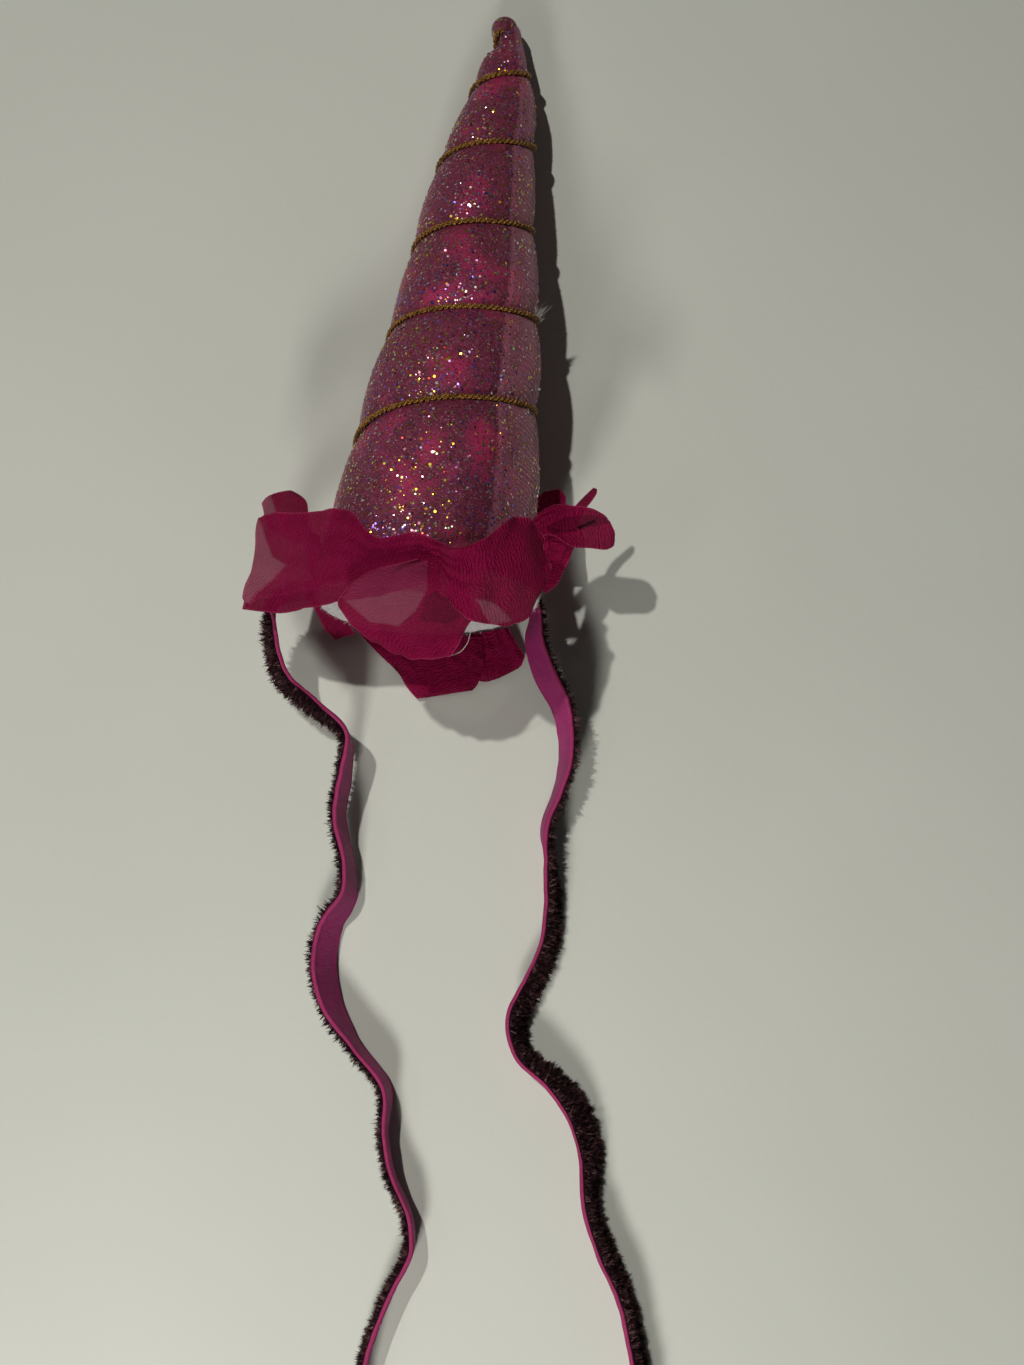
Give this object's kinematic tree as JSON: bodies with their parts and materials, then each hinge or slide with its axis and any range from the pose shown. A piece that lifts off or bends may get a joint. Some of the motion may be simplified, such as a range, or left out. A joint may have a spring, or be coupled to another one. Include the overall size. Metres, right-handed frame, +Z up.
{
  "type": "unicorn horn headband",
  "caption": "Stuffed glitter unicorn horn with a spiral gold cord, felt base, chiffon petals and a plush elastic headband loop, lying on its side.",
  "frame": {"origin": "centre of the bounding box in plan, on the table surface it rests on", "axes": "+Y along the horn towards its tip, +Z up from the table, +X to the right as seen from above"},
  "size_m": [0.0942, 0.3692, 0.062],
  "materials": {
    "glitter_fabric": "magenta satin under pale net with holographic glitter dots",
    "gold_cord": "twisted metallic gold cord",
    "white_felt": "matt white felt",
    "petal_chiffon": "sheer crimson chiffon with heat-cut edges",
    "plush_elastic": "magenta elastic, smooth inside and dark plush outside"
  },
  "bodies": {
    "root": {"base_disc": "white_felt", "elastic_band": "plush_elastic", "gold_cord": "gold_cord", "horn": "glitter_fabric", "petal_bottom_left": "petal_chiffon", "petal_bottom_right": "petal_chiffon", "petal_left_back": "petal_chiffon", "petal_left_front": "petal_chiffon", "petal_low_left": "petal_chiffon", "petal_right_back": "petal_chiffon", "petal_right_front": "petal_chiffon", "petal_right_side": "petal_chiffon", "petal_right_spike": "petal_chiffon", "petal_right_tongue": "petal_chiffon", "petal_top": "petal_chiffon"}
  },
  "joints": []
}
